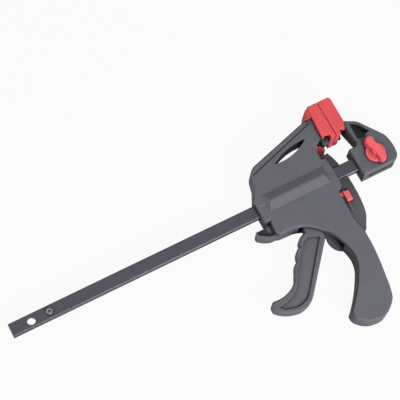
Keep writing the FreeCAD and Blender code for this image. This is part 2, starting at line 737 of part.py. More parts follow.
# Pads
def make_moving_pad():
    body = new_body("moving_jaw_pad")
    top = S.jaw_reach + S.pad_cap
    back = TIP_FACE - S.pad_flange
    block = slab(body, "block", "XY_Plane", -S.pad_half, S.pad_half * 2,
                 [[(CLAMP, S.pad_foot, 0), (CLAMP, top, 0), (back + S.pad_plate / 2, top, 0),
                   (back, S.pad_flange_foot, 0), (TIP_FACE, S.pad_flange_foot, 0),
                   (TIP_FACE, S.pad_foot, 0)]])
    free = CLAMP.value - SAME_PLACE
    rims = edges_where(block, lambda p: near(abs(p.z), S.pad_half.value) and p.x < free
                       or near(p.y, top.value) and p.x < free)
    dress(body, "Fillet", "soft_edges", block, rims, "Radius", S.pad_round)
    crown = top - S.pad_round
    foot = jaw_y(HOOD_FOOT_SHARE)
    hood = [(TIP_FACE, foot, 0), (TIP_FACE, crown, 0), (tip_x(HOOD_TOP_SHARE), crown, 0.1)]
    hood += [(tip_x(u), jaw_y(v), bulge) for u, v, bulge in HOOD_SHARES]
    hood += [(back + S.pad_plate, foot, 0)]
    slab(body, "hood", "XY_Plane", -S.hood_half, S.hood_half * 2, [hood])
    gap = S.fit_gap
    shoulder, step = [(tip_x(u) - gap, jaw_y(v) + gap, 0) for u, v, bulge in TIP_BACK_SHARES[:2]]
    room = [(TIP_FACE, S.pad_foot - S.overrun, 0), (TIP_FACE, S.jaw_reach + gap, 0), shoulder, step,
            (step[0], S.pad_foot - S.overrun, 0)]
    cut(body, "jaw_room", "XY_Plane", -(S.body_half + gap), (S.body_half + gap) * 2, [room])
    return body


def make_fixed_pad():
    body = new_body("fixed_jaw_pad")
    top = S.jaw_reach + S.pad_cap
    back = FIXED_FACE + S.pad_flange
    block = slab(body, "block", "XY_Plane", -S.pad_half, S.pad_half * 2,
                 [[(CLAMP, S.pad_foot, 0), (FIXED_FACE, S.pad_foot, 0),
                   (FIXED_FACE, S.pad_flange_foot, 0), (back, S.pad_flange_foot, 0),
                   (back, top, 0), (CLAMP, top, 0)]])
    free = CLAMP.value + SAME_PLACE
    rims = edges_where(block, lambda p: near(abs(p.z), S.pad_half.value) and p.x > free
                       or near(p.y, top.value) and p.x > free)
    dress(body, "Fillet", "soft_edges", block, rims, "Radius", S.pad_round)
    gap = S.fit_gap
    cut(body, "jaw_room", "XY_Plane", -(S.body_half + gap), (S.body_half + gap) * 2,
        [box_loop(FIXED_FACE, S.pad_foot - S.overrun, back + S.overrun, S.jaw_reach + gap)])
    return body


# Fixed jaw
def fixed_x(share):
    return FIXED_FACE + S.fixed_jaw_length * share


def fixed_y(share):
    return S.jaw_reach * share if share >= 0 else S.fixed_jaw_foot * share


def make_fixed_jaw():
    body = new_body("fixed_jaw")
    loop = [(fixed_x(u), fixed_y(v), bulge) for u, v, bulge in FIXED_OUTLINE_SHARES]
    add_bevelled_slab(body, S.body_half, S.edge_round, loop)
    pocket = [(fixed_x(u), fixed_y(v), bulge) for u, v, bulge in FIXED_POCKET_SHARES]
    depth = S.body_half - S.fixed_jaw_web_half + S.overrun
    cut(body, "near_pocket", "XY_Plane", S.fixed_jaw_web_half, depth, [pocket])
    cut(body, "far_pocket", "XY_Plane", -(S.body_half + S.overrun), depth, [pocket])
    bar_side = HALF_BAR_THICKNESS + S.slide_gap
    bar_edge = HALF_BAR + S.slide_gap
    cut(body, "bar_way", "XY_Plane", -bar_side, bar_side * 2,
        [box_loop(FIXED_FACE - S.overrun, -bar_edge, fixed_x(1.0) + S.overrun, bar_edge)])
    slit_low = -(S.fixed_jaw_foot + S.overrun)
    cut(body, "foot_slit", "XY_Plane", -S.fixed_slit_half, S.fixed_slit_half * 2,
        [box_loop(fixed_x(FIXED_SLIT_SHARE), slit_low, fixed_x(1.0), S.fixed_slit_depth - S.fixed_jaw_foot)])
    hub = S.knob_hub_diameter / 2 + S.pin_gap
    cut(body, "hub_bore", "XY_Plane", HALF_BAR_THICKNESS, S.body_half,
        [("circle", KNOB, ZERO, hub)])
    return body


# Lock knob
def hub_floor():
    return HALF_BAR_THICKNESS + S.slide_gap + S.seat_gap


def make_knob():
    body = new_body("lock_knob")
    disc_low = S.body_half + S.knob_lift
    slab(body, "disc", "XY_Plane", disc_low, S.knob_disc_height,
         [("circle", ZERO, ZERO, S.knob_diameter / 2)])
    floor = hub_floor()
    slab(body, "hub", "XY_Plane", floor, disc_low - floor + S.knob_disc_height,
         [("circle", ZERO, ZERO, S.knob_hub_diameter / 2)])
    tip = S.knob_wing_width / 4
    end_bulge = 0.6
    half = S.knob_wing_length / 2 - tip * end_bulge
    side_bulge = (S.knob_wing_width.value / 2 - tip.value) / half.value
    wing = slab(body, "wing", "XY_Plane", disc_low, S.knob_disc_height + S.knob_wing_height,
                [[(tip, -half, side_bulge), (tip, half, end_bulge),
                  (-tip, half, side_bulge), (-tip, -half, end_bulge)]])
    crest = (disc_low + S.knob_disc_height + S.knob_wing_height).value
    dress(body, "Chamfer", "wing_slope", wing, edges_where(wing, lambda p: near(p.z, crest)),
          "Size", S.knob_wing_slope)
    cut(body, "pin_bore", "XY_Plane", floor - S.overrun, pin_room_top() - floor + S.overrun,
        [("circle", ZERO, ZERO, S.lock_pin_diameter / 2 + S.pin_gap)])
    bind(body, "Placement.Base.x", KNOB)
    bind(body, "Placement.Rotation.Angle", S.knob_wing_turn)
    return body


def pin_room_top():
    return S.body_half + S.knob_lift + S.knob_disc_height + S.knob_wing_height - S.knob_wing_slope


def make_lock_pin():
    pin = doc.addObject("Part::Cylinder", "lock_pin")
    pin.Label = "lock_pin"
    bind(pin, "Radius", S.lock_pin_diameter / 2)
    bind(pin, "Height", S.lock_pin_length)
    bind(pin, "Placement.Base.x", KNOB)
    bind(pin, "Placement.Base.z", -S.lock_pin_below)
    return pin


# Trigger and its pin
def make_trigger():
    body = new_body("trigger")
    eye = S.eye_radius
    top = S.arm_height
    left = S.arm_offset
    shoulder = (left, eye * EYE_SHOULDER_SHARE, 0.55)
    points = [(left + S.arm_width, top, 0), (left, top, 0), shoulder, (-eye, ZERO, 0)]
    points += [(S.trigger_sweep * u, S.trigger_drop * v, bulge) for u, v, bulge in TRIGGER_SHARES]
    points += [(eye, ZERO, 0)]
    add_bevelled_slab(body, S.trigger_half, S.edge_round, points)
    panel = [(S.trigger_sweep * u, S.trigger_drop * v, bulge) for u, v, bulge in PANEL_SHARES]
    low = S.trigger_half - S.trigger_panel_depth
    cut(body, "near_panel", "XY_Plane", low, S.trigger_panel_depth + S.overrun, [panel])
    cut(body, "far_panel", "XY_Plane", -(S.trigger_half + S.overrun), S.trigger_panel_depth + S.overrun,
        [panel])
    cut(body, "eye_bore", "XY_Plane", -(S.trigger_half + S.overrun), (S.trigger_half + S.overrun) * 2,
        [("circle", ZERO, ZERO, S.pivot_pin_diameter / 2 + S.pin_gap)])
    bind(body, "Placement.Base.x", PIVOT)
    bind(body, "Placement.Base.y", -S.pivot_drop)
    return body


def make_trigger_pin():
    pin = doc.addObject("Part::Cylinder", "trigger_pin")
    pin.Label = "trigger_pin"
    reach = S.body_half - S.wall / 2 - S.seat_gap
    bind(pin, "Radius", S.pivot_pin_diameter / 2)
    bind(pin, "Height", reach * 2)
    bind(pin, "Placement.Base.x", PIVOT)
    bind(pin, "Placement.Base.y", -S.pivot_drop)
    bind(pin, "Placement.Base.z", -reach)
    return pin


# Plates that grip the bar
def make_drive_plate(label, face):
    """A square plate round the bar; face is the X of its side towards the fixed jaw."""
    body = new_body(label)
    bar_edge = HALF_BAR + S.slide_gap
    bar_side = HALF_BAR_THICKNESS + S.slide_gap
    slab(body, "plate", "YZ_Plane", face - S.plate_thickness, S.plate_thickness,
         [box_loop(-S.plate_foot, -S.plate_half, S.plate_top, S.plate_half),
          box_loop(-bar_edge, -bar_side, bar_edge, bar_side)])
    return body


def make_brake_plate():
    """The plate that stops the bar from slipping back; it leans on the housing at its top."""
    body = new_body("brake_plate")
    slope = S.plate_thickness * sine(S.brake_tilt)
    middle = -(S.brake_pivot_rise - slope / 2) / cosine(S.brake_tilt)
    half_hole = (HALF_BAR + S.slide_gap) / cosine(S.brake_tilt) + slope / 2
    bar_side = HALF_BAR_THICKNESS + S.slide_gap
    slab(body, "plate", "YZ_Plane", -S.plate_thickness, S.plate_thickness,
         [box_loop(-S.brake_length, -S.plate_half, ZERO, S.plate_half),
          box_loop(middle - half_hole, -bar_side, middle + half_hole, bar_side)])
    bind(body, "Placement.Base.x", BRAKE)
    bind(body, "Placement.Base.y", S.brake_pivot_rise)
    bind(body, "Placement.Rotation.Angle", S.brake_tilt)
    return body


# Release button
def make_button():
    body = new_body("release_button")
    low = -(S.button_drop + S.button_height)
    block = slab(body, "tabs", "XY_Plane", -S.button_half, S.button_half * 2,
                 [box_loop(BUTTON, low, BUTTON + S.button_depth, -S.button_drop)])
    rims = edges_where(block, lambda p: near(abs(p.z), S.button_half.value))
    dress(body, "Fillet", "soft_edges", block, rims, "Radius", S.button_round)
    foot = S.button_drop + S.button_nose_height
    lean = (S.brake_pivot_rise + S.button_drop) * sine(S.brake_tilt)
    slab(body, "nose", "XY_Plane", -S.button_nose_half, S.button_nose_half * 2,
         [box_loop(BRAKE + lean + S.arm_gap * 2, -foot, BUTTON + S.button_round, -S.button_drop)])
    return body


# Springs
def fit_two_arcs(start, start_way, end, end_way):
    """Two arcs that leave start and reach end along the given unit directions."""
    span = end - start
    total = start_way + end_way
    square = 2 * (1 - start_way.dot(end_way))
    middle = span.dot(total)
    reach = (-middle + math.sqrt(middle * middle + square * span.dot(span))) / square
    join = (start + start_way * reach + end - end_way * reach) * 0.5
    arcs = []
    for first, way, last in ((start, start_way, join), (end, -end_way, join)):
        chord = last - first
        normal = way.cross(chord).cross(way)
        normal.normalize()
        radius = chord.dot(chord) / (2 * chord.dot(normal))
        centre = first + normal * radius
        halfway = (first - centre) + (last - centre)
        halfway.normalize()
        arcs.append(Part.Arc(first, centre + halfway * radius, last).toShape())
    return arcs


def coil_point(radius, length, turns, angle):
    """Place and direction on a coil round the X axis."""
    rate = length / (turns * 2 * math.pi)
    place = Vector(rate * angle, radius * math.cos(angle), radius * math.sin(angle))
    way = Vector(rate, -radius * math.sin(angle), radius * math.cos(angle))
    way.normalize()
    return place, way


def least_gap(radius, run, coils, wire):
    """The least space between two turns, measured between points along the middle of the wire."""
    per_turn = 48
    step = 2 * math.pi / per_turn
    places = [coil_point(radius, run, coils, index * step)[0] for index in range(coils * per_turn + 1)]
    first, first_way = coil_point(radius, run, coils, 0)
    last, last_way = coil_point(radius, run, coils, coils * 2 * math.pi)
    places = [first - first_way * wire] + places + [last + last_way * wire]
    spans = []
    for index, place in enumerate(places):
        for other in places[index + per_turn // 2:]:
            spans.append(place.distanceToPoint(other))
    return min(spans) - wire


def make_spring(label, start, direction, length, radius, wire, coils):
    """A compression spring of one unbroken wire, from start along direction over length."""
    run = length - wire
    quarters = coils * 4
    stops = [coil_point(radius, run, coils, index * math.pi / 2) for index in range(quarters + 1)]
    first, first_way = stops[0]
    last, last_way = stops[-1]
    edges = [Part.LineSegment(first - first_way * wire, first).toShape()]
    for (place, way), (next_place, next_way) in zip(stops, stops[1:]):
        edges += fit_two_arcs(place, way, next_place, next_way)
    edges.append(Part.LineSegment(last, last + last_way * wire).toShape())
    path = Part.Wire(Part.sortEdges(edges)[0])
    ring = Part.Wire([Part.Circle(first - first_way * wire, first_way, wire / 2).toShape()])
    shell = Part.BRepOffsetAPI.MakePipeShell(path)
    shell.add(ring)
    shell.build()
    shell.makeSolid()
    spring = doc.addObject("Part::Feature", label)
    spring.Label = label
    spring.Shape = shell.shape()
    turn = FreeCAD.Rotation(Vector(1, 0, 0), direction)
    spring.Placement = FreeCAD.Placement(start + direction * (wire / 2), turn)
    gap = least_gap(radius, run, coils, wire)
    print(f"{label}: least gap between turns {gap:.2f} mm, volume {spring.Shape.Volume:.1f} mm3")
    return spring


def make_springs():
    plate_back = PLATE_FACE.value - 2 * S.plate_thickness.value - S.fit_gap.value
    start_x = (BACK + S.end_wall).value + S.seat_gap.value
    drive = make_spring("drive_spring", Vector(start_x, 0, 0), Vector(1, 0, 0),
                        plate_back - S.seat_gap.value - start_x, S.drive_coil_radius.value,
                        S.drive_wire.value, int(S.drive_coils.value))
    lean = (S.brake_pivot_rise + S.brake_spring_drop - S.brake_coil_radius) * sine(S.brake_tilt)
    plate_side = (BRAKE - S.plate_thickness + lean).value - S.seat_gap.value
    seat = (BRAKE - S.plate_thickness - S.brake_boss_gap).value + S.seat_gap.value
    brake = make_spring("brake_spring", Vector(seat, -S.brake_spring_drop.value, 0), Vector(1, 0, 0),
                        plate_side - seat, S.brake_coil_radius.value, S.brake_wire.value,
                        int(S.brake_coils.value))
    pin_top = (S.lock_pin_length - S.lock_pin_below).value + S.seat_gap.value
    radius = (S.lock_pin_diameter / 2 - S.lock_wire / 2 - S.fit_gap).value
    lock = make_spring("lock_spring", Vector(KNOB.value, 0, pin_top), Vector(0, 0, 1),
                       pin_room_top().value - S.seat_gap.value - pin_top, radius,
                       S.lock_wire.value, int(S.lock_coils.value))
    return [drive, brake, lock]


front_plate_face = PLATE_FACE
rear_plate_face = PLATE_FACE - S.plate_thickness - S.fit_gap

nodes = [
    make_bar(),
    make_stop_pin(),
    make_fixed_jaw(),
    make_fixed_pad(),
    make_knob(),
    make_lock_pin(),
    make_housing("near_housing", 1),
    make_housing("far_housing", -1),
    make_screws(),
    make_moving_pad(),
    make_trigger(),
    make_trigger_pin(),
    make_drive_plate("drive_plate_front", front_plate_face),
    make_drive_plate("drive_plate_rear", rear_plate_face),
    make_brake_plate(),
    make_button(),
]
nodes += make_springs()

doc.recompute()
for item in doc.Objects:
    if "Invalid" in item.State or "Error" in item.State:
        raise RuntimeError(f"{item.Label} did not build: {item.State}")
for node in nodes:
    if node.Shape.isNull() or not node.Shape.isValid():
        raise RuntimeError(f"{node.Label} has no valid shape")
for node in nodes:
    node.Shape.exportStep(f"parts/{node.Label}.step")
    print(f"{node.Label}: {len(node.Shape.Solids)} solid, {node.Shape.Volume:.0f} mm3")
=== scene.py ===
import json
import math

import bmesh
import bpy
from mathutils import Matrix, Vector


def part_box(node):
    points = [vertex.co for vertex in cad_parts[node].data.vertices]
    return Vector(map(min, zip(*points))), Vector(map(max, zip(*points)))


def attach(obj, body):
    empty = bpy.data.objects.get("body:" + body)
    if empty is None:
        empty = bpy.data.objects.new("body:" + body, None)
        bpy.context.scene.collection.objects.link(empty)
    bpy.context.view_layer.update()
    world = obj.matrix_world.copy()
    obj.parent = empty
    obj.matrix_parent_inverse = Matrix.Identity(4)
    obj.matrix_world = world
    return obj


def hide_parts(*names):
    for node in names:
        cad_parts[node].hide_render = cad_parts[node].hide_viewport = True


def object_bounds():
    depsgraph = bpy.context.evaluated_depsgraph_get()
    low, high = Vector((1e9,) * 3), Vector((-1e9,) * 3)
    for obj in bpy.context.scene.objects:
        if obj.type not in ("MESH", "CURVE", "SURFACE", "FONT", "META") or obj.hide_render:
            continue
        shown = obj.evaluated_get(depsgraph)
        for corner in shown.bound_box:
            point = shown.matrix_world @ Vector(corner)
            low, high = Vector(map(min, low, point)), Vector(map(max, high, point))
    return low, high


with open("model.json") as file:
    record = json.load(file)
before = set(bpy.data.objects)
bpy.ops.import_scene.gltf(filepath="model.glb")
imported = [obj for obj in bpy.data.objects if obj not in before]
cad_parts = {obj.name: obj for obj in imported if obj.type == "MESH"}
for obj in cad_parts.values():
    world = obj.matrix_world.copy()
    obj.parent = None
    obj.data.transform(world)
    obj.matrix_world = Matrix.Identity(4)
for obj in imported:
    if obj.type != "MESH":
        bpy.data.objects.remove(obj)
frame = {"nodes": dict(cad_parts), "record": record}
CAD_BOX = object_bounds()
MM = 0.001

# Camera, at the photograph's viewing angle
CAMERA_PLACE = Vector((-75.5, -247.4, 907.0)) * MM
CAMERA_RIGHT = Vector((0.8812, -0.4682, 0.0659))
CAMERA_UP = Vector((0.4190, 0.8378, 0.3501))
CAMERA_BACK = Vector((-0.2191, -0.2809, 0.9344))
CAMERA_LENS = 129.87
SENSOR = 36.0

# Floor, world and lamps
FLOOR_LEVEL = -10.35 * MM
FLOOR_HALF = 3.0
FLOOR_COLOUR = (0.42, 0.42, 0.42, 1.0)
FLOOR_LIGHT_COLOUR = (0.46, 0.46, 0.46, 1.0)
FLOOR_GLOW = 0.94
FLOOR_GRAIN = 30 * MM
WORLD_LEVEL = 0.24
WORLD_GLOSS = 0.30
KEY_WAY = Vector((0.20, -0.92, 0.72))
KEY_SIZE = 0.5
KEY_POWER = 14.6
TOP_WAY = Vector((0.15, 0.25, 1.3))
TOP_SIZE = 0.9
TOP_POWER = 1.8
FILL_WAY = Vector((-1.0, 0.5, 0.34))
FILL_SIZE = 0.6
FILL_POWER = 3.6

# Colours as linear values
BODY_GREY = (0.124, 0.124, 0.147)
LEVER_GREY = (0.122, 0.122, 0.142)
PAD_RED = (0.78, 0.094, 0.104)
CONTROL_RED = (0.88, 0.108, 0.138)
BUTTON_RED = (0.95, 0.15, 0.13)
BAR_BLACK = (0.066, 0.061, 0.082)
ZINC = (0.55, 0.55, 0.57)
PIN_STEEL = (0.24, 0.23, 0.25)
SPRING_GREY = (0.32, 0.32, 0.34)

# Places that the finishes follow
BAR_BEVEL = 0.8 * MM
BAR_MIDDLE = 165.0 * MM
THUMB_HALF = 3.7 * MM
HOUSING_BACK = 167.0 * MM
HOUSING_FRONT = 223.5 * MM
HOOK_WEB_HALF = 1.7 * MM
GRIP_ROOT = -32.0 * MM
GRIP_ROOT_BLUR = 4.0 * MM
GRIP_FOOT = -96.0 * MM
GRIP_FOOT_BLUR = 6.0 * MM
SLIT_HALF = 1.42 * MM
# Painted shade on the thumb rest and the fin, darkest next to the bar
NEAR_BAR_SHADE_START = -30.0 * MM
NEAR_BAR_SHADE_END = -6.0 * MM
NEAR_BAR_SHADE_LEAST = 0.30
NEAR_BAR_SHADE_MOST = 0.86
MARK_BLUR = 0.1 * MM
PARTING_HALF = 0.10 * MM
PARTING_BLUR = 0.14 * MM

# Grain of the finishes
CLOUD_SIZE = 14.0 * MM
SPECK_SIZE = 0.9 * MM
SPECK_GAIN = 1.28
# Painted highlight on sharp edges: radius of its mask and of the rounded normals, and how far it lightens
# the colour
EDGE_ROUND_HIGHLIGHT_RADIUS = 0.45 * MM
EDGE_HIGHLIGHT_GAIN = 1.9
# Reach of the painted shade in wide hollows and in narrow creases
HOLLOW_REACH = 12.0 * MM
CREASE_REACH = 3.0 * MM
STREAK_SIZE = 0.5 * MM
SPOT_SIZE = 9.0 * MM
# Metal edges: radius of the rounded normals and of the painted highlight; reach of the painted shade in
# corners
METAL_EDGE_RADIUS = 0.35 * MM
METAL_CREASE_REACH = 2.0 * MM
SCRATCH_DEPTH = 0.02 * MM
# Part of the bar's colour that is left on its narrow sides, as painted shade
BAR_SIDE_SHADE = 0.2

# Pads, in millimetres: outlines of the flanges beside the jaws' tips, and the walls round them
MOVING_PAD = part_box("moving_jaw_pad")
CLAMP = MOVING_PAD[1].x / MM
PAD_TOP = MOVING_PAD[1].y / MM
PAD_HALF = MOVING_PAD[1].z / MM
PAD_PLATE = 3.8
PAD_FOOT = 22.2
PAD_CAP = 2.2
PAD_INNER_HALF = 7.42
HOOD_HALF = 8.7
PAD_VOXEL = 0.36
NEAR_FLANGE = [(-9.6, 24.6), (-9.1, 24.1), (-7.2, 25.7), (-5.6, 25.4), (-3.2, 24.6), (-3.2, 49.3),
               (-8.0, 49.3), (-9.3, 30.1)]
FIXED_FLANGE = [(3.2, 24.4), (4.8, 24.9), (7.6, 23.6), (9.8, 29.7), (9.9, 47.7), (8.7, 49.3), (3.2, 49.3)]
HOOD_SIDE = [(-3.2, 42.5), (-3.2, 48.6), (-9.7, 48.6), (-13.6, 42.4), (-11.8, 41.6)]
HOOD_BACK = [(-13.65, 42.4), (-12.4, 41.5), (-9.2, 47.4), (-9.2, 48.7), (-9.8, 48.6)]
THROAT_TAB = [(-12.9, 23.7), (-15.4, 19.6), (-14.0, 17.2), (-10.9, 16.9), (-8.2, 19.6), (-7.6, 24.6),
              (-9.8, 24.6)]
TAB_TOP = -2.0
TIP_WEB = [(-9.6, 22.4), (-8.2, 21.5), (-5.0, 21.5), (-4.0, 22.6), (-4.0, 26.5), (-9.6, 26.5)]
TIP_WEB_LOW = -1.6
TIP_WEB_HIGH = 3.0
# Where the painted shade on the hood's far end begins, and its blur
HOOD_SHADE = CLAMP - 9.7
HOOD_SHADE_BLUR = 0.6
MOVING_CAP = [(-8.0, PAD_TOP - PAD_CAP), (-3.0, PAD_TOP - PAD_CAP), (-3.0, PAD_TOP), (-8.0, PAD_TOP)]
FIXED_CAP = [(3.0, PAD_TOP - PAD_CAP), (9.6, PAD_TOP - PAD_CAP), (8.7, PAD_TOP), (3.0, PAD_TOP)]
SEAM_STEP = 0.45

# Lock knob, in millimetres from its own axis
KNOB_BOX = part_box("lock_knob")
KNOB_TOP = KNOB_BOX[1].z / MM
KNOB_FOOT = KNOB_BOX[0].z / MM
KNOB_RADIUS = 7.0
KNOB_HUB_RADIUS = 4.5
KNOB_DISC_LOW = 7.5
KNOB_DISC_TOP = 9.3
KNOB_BORE_RADIUS = 2.76
KNOB_BORE_TOP = 13.4
KNOB_BORE_OVERRUN = 1.0
KNOB_BORE_STEPS = 32
KNOB_BOSS_RADIUS = 3.6
KNOB_BOSS_TOP = 14.0
KNOB_DOME = [(KNOB_HUB_RADIUS, KNOB_FOOT), (KNOB_HUB_RADIUS, KNOB_DISC_LOW),
             (KNOB_RADIUS - 0.3, KNOB_DISC_LOW), (KNOB_RADIUS, KNOB_DISC_LOW + 0.3),
             (KNOB_RADIUS, KNOB_DISC_TOP - 0.7), (KNOB_RADIUS - 0.5, KNOB_DISC_TOP - 0.2),
             (KNOB_RADIUS - 1.6, KNOB_DISC_TOP - 0.05), (KNOB_RADIUS - 2.8, KNOB_DISC_TOP - 0.35),
             (KNOB_RADIUS - 4.2, KNOB_DISC_TOP)]
KNOB_BOSS = [(KNOB_BOSS_RADIUS, KNOB_DISC_LOW), (KNOB_BOSS_RADIUS, KNOB_BOSS_TOP - 1.2),
             (KNOB_BOSS_RADIUS - 0.5, KNOB_BOSS_TOP)]
WING_OUTLINE = [(-4.1, 9.6), (-2.7, 10.8), (0.0, 10.8), (1.7, 9.1), (1.5, 6.7), (1.6, 5.0), (3.2, 2.9),
                (3.8, 0.7), (3.2, -1.7), (4.2, -4.4), (3.5, -7.4), (2.0, -9.1), (-0.4, -9.1),
                (-1.6, -7.4), (-1.8, -5.1), (-2.1, -1.8), (-3.1, 1.9), (-4.6, 5.2), (-5.0, 7.2)]
WING_MIDDLE = (-0.4, 0.3)
WING_LEVELS = [(KNOB_DISC_TOP - 0.5, 0.98), (KNOB_TOP - 1.7, 1.0), (KNOB_TOP - 0.05, 0.86)]
WING_END_SHARE = 0.35
KNOB_VOXEL = 0.24

# Guide rib on the thumb rest, in millimetres
RIB_LEFT = 224.7
RIB_RIGHT = 226.6
RIB_LEAN = 0.9
RIB_FOOT = -28.6
RIB_TOP = -22.7
RIB_LOW = THUMB_HALF / MM - 0.6
RIB_LEVEL = 4.3
RIB_VOXEL = 0.2

# Release button, in millimetres
BUTTON_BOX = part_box("release_button")
BUTTON_CROWN = 4.4
BUTTON_FOOT_RISE = 0.4
BUTTON_HEAD_DROP = 0.8
BUTTON_STEM_HEIGHT = 2.6
BUTTON_STEM_HALF = 3.6
BUTTON_STEM_LAP = 0.5
BUTTON_RIBS = 3
BUTTON_RIB = 0.45
BUTTON_RIB_START = 0.5
BUTTON_RIB_PITCH = 1.3
BUTTON_RIB_WIDTH = 0.7
BUTTON_RIB_FOOT = 0.9
BUTTON_RIB_HEAD = 1.1
BUTTON_VOXEL = 0.22


def times(colour, share):
    return tuple(min(1.0, value * share) for value in colour) + (1.0,)


# Material helpers
def node(tree, kind, inputs=None, **settings):
    """A new shader node; an input is a number, a colour or another node's output."""
    made = tree.nodes.new(kind)
    for name, value in settings.items():
        setattr(made, name, value)
    for name, value in (inputs or {}).items():
        if isinstance(value, bpy.types.NodeSocket):
            tree.links.new(value, made.inputs[name])
        else:
            made.inputs[name].default_value = value
    return made


def new_material(name):
    material = bpy.data.materials.new(name)
    material.use_nodes = True
    tree = material.node_tree
    return material, tree, tree.nodes["Principled BSDF"]


def object_place(tree, scale=(1.0, 1.0, 1.0)):
    place = node(tree, "ShaderNodeTexCoord").outputs["Object"]
    return node(tree, "ShaderNodeMapping", {"Vector": place, "Scale": scale}).outputs["Vector"]


def noise(tree, place, size, detail=3.0, rough=0.5):
    """Noise whose blots are about size metres wide."""
    made = node(tree, "ShaderNodeTexNoise", {"Vector": place, "Scale": 1.0 / size, "Detail": detail,
                                             "Roughness": rough})
    return made.outputs["Fac"]


def spread(tree, value, low, high, to_low, to_high):
    made = node(tree, "ShaderNodeMapRange", {"Value": value, "From Min": low, "From Max": high,
                                             "To Min": to_low, "To Max": to_high})
    return made.outputs["Result"]


def math_of(tree, first, second, kind="ADD"):
    """The sum of two values, or what another kind of sum makes of them."""
    return node(tree, "ShaderNodeMath", {0: first, 1: second}, operation=kind).outputs["Value"]


def blend_colours(tree, share, first, second):
    made = node(tree, "ShaderNodeMix", data_type="RGBA")
    for socket, value in ((made.inputs[0], share), (made.inputs[6], first), (made.inputs[7], second)):
        if isinstance(value, bpy.types.NodeSocket):
            tree.links.new(value, socket)
        else:
            socket.default_value = value
    return made.outputs[2]


def edge_share(tree, radius):
    """Rounded normals, and a share that grows towards sharp edges."""
    soft = node(tree, "ShaderNodeBevel", {"Radius": radius}, samples=6).outputs["Normal"]
    flat = node(tree, "ShaderNodeNewGeometry").outputs["Normal"]
    facing = node(tree, "ShaderNodeVectorMath", {0: soft, 1: flat}, operation="DOT_PRODUCT").outputs["Value"]
    return soft, spread(tree, facing, 1.0, 0.86, 0.0, 1.0)


def crease_shade_share(tree, reach, deep=0.3, open_sky=0.92):
    """A share of painted shade that grows in hollows and corners."""
    made = node(tree, "ShaderNodeAmbientOcclusion", {"Distance": reach}, samples=6)
    return spread(tree, made.outputs["AO"], deep, open_sky, 1.0, 0.0)


def object_parts(tree):
    """The place in the object's own frame, as outputs X, Y and Z."""
    place = node(tree, "ShaderNodeTexCoord").outputs["Object"]
    return node(tree, "ShaderNodeSeparateXYZ", {"Vector": place}).outputs


def middle_gap(tree):
    """How far a place is from the middle plane."""
    return math_of(tree, object_parts(tree)["Z"], 0.0, "ABSOLUTE")


def product(tree, first, *others):
    for other in others:
        first = math_of(tree, first, other, "MULTIPLY")
    return first


# Places that a finish darkens: painted shade, and the parting line
def parting_share(tree):
    """A share that is 1 in a hair line round the middle plane, where the two shells meet."""
    return spread(tree, middle_gap(tree), PARTING_HALF, PARTING_HALF + PARTING_BLUR, 1.0, 0.0)


def near_bar_shade_share(tree):
    """A share of painted shade that grows on the thumb rest and the fin towards the bar."""
    parts = object_parts(tree)
    sunk = spread(tree, middle_gap(tree), THUMB_HALF, THUMB_HALF + MARK_BLUR, 1.0, 0.0)
    ahead = spread(tree, parts["X"], HOUSING_FRONT, HOUSING_FRONT + 3 * MARK_BLUR, 0.0, 1.0)
    close = spread(tree, parts["Y"], NEAR_BAR_SHADE_START, NEAR_BAR_SHADE_END, NEAR_BAR_SHADE_LEAST, NEAR_BAR_SHADE_MOST)
    return product(tree, sunk, ahead, close)


def hook_web_shade_share(tree):
    """A share of painted shade that is 1 on the sunk web of the finger hook."""
    gap = middle_gap(tree)
    sunk = spread(tree, gap, HOOK_WEB_HALF, HOOK_WEB_HALF + MARK_BLUR, 1.0, 0.0)
    proud = spread(tree, gap, HOOK_WEB_HALF - 2 * MARK_BLUR, HOOK_WEB_HALF - MARK_BLUR, 0.0, 1.0)
    along = object_parts(tree)["X"]
    behind = spread(tree, along, HOUSING_BACK - 3 * MARK_BLUR, HOUSING_BACK - MARK_BLUR, 1.0, 0.0)
    return product(tree, sunk, proud, behind)


def grip_inside_shade_share(tree):
    """A share of painted shade that is 1 on the grip's wall that faces the trigger."""
    height = object_parts(tree)["Y"]
    normal = node(tree, "ShaderNodeNewGeometry").outputs["True Normal"]
    way = node(tree, "ShaderNodeSeparateXYZ", {"Vector": normal}).outputs["X"]
    facing = spread(tree, way, -0.5, -0.2, 1.0, 0.0)
    above = spread(tree, height, GRIP_FOOT, GRIP_FOOT + GRIP_FOOT_BLUR, 0.0, 1.0)
    below = spread(tree, height, GRIP_ROOT - GRIP_ROOT_BLUR, GRIP_ROOT, 1.0, 0.0)
    return product(tree, above, below, facing)


def hood_back_shade_share(tree):
    """A share of painted shade that grows on the far end of the pad's hood, behind its near edge."""
    along = object_parts(tree)["X"]
    return spread(tree, along, (HOOD_SHADE - HOOD_SHADE_BLUR) * MM, HOOD_SHADE * MM, 1.0, 0.0)


def foot_slit_shade_share(tree):
    """A share of painted shade that is 1 inside the slit in the fixed jaw's foot."""
    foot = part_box("fixed_jaw")[0].y
    inside = spread(tree, middle_gap(tree), SLIT_HALF, SLIT_HALF + MARK_BLUR / 2, 1.0, 0.0)
    height = object_parts(tree)["Y"]
    past = spread(tree, height, foot + MARK_BLUR / 2, foot + 1.5 * MARK_BLUR, 0.0, 1.0)
    return product(tree, inside, past)


def bar_flanks(tree):
    """Shares that are 1 on the bar's two narrow sides, which carry painted shade, and on its four bevels,
    which carry a painted highlight.
    """
    across = math_of(tree, object_parts(tree)["Y"], 0.0, "ABSOLUTE")
    half_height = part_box("slide_bar")[1].y
    half_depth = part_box("slide_bar")[1].z
    side = spread(tree, across, half_height - 0.06 * MM, half_height - 0.02 * MM, 0.0, 1.0)
    bevel = math_of(tree, across, middle_gap(tree))
    start = half_height + half_depth - BAR_BEVEL
    return side, spread(tree, bevel, start - 0.10 * MM, start - 0.04 * MM, 0.0, 1.0)


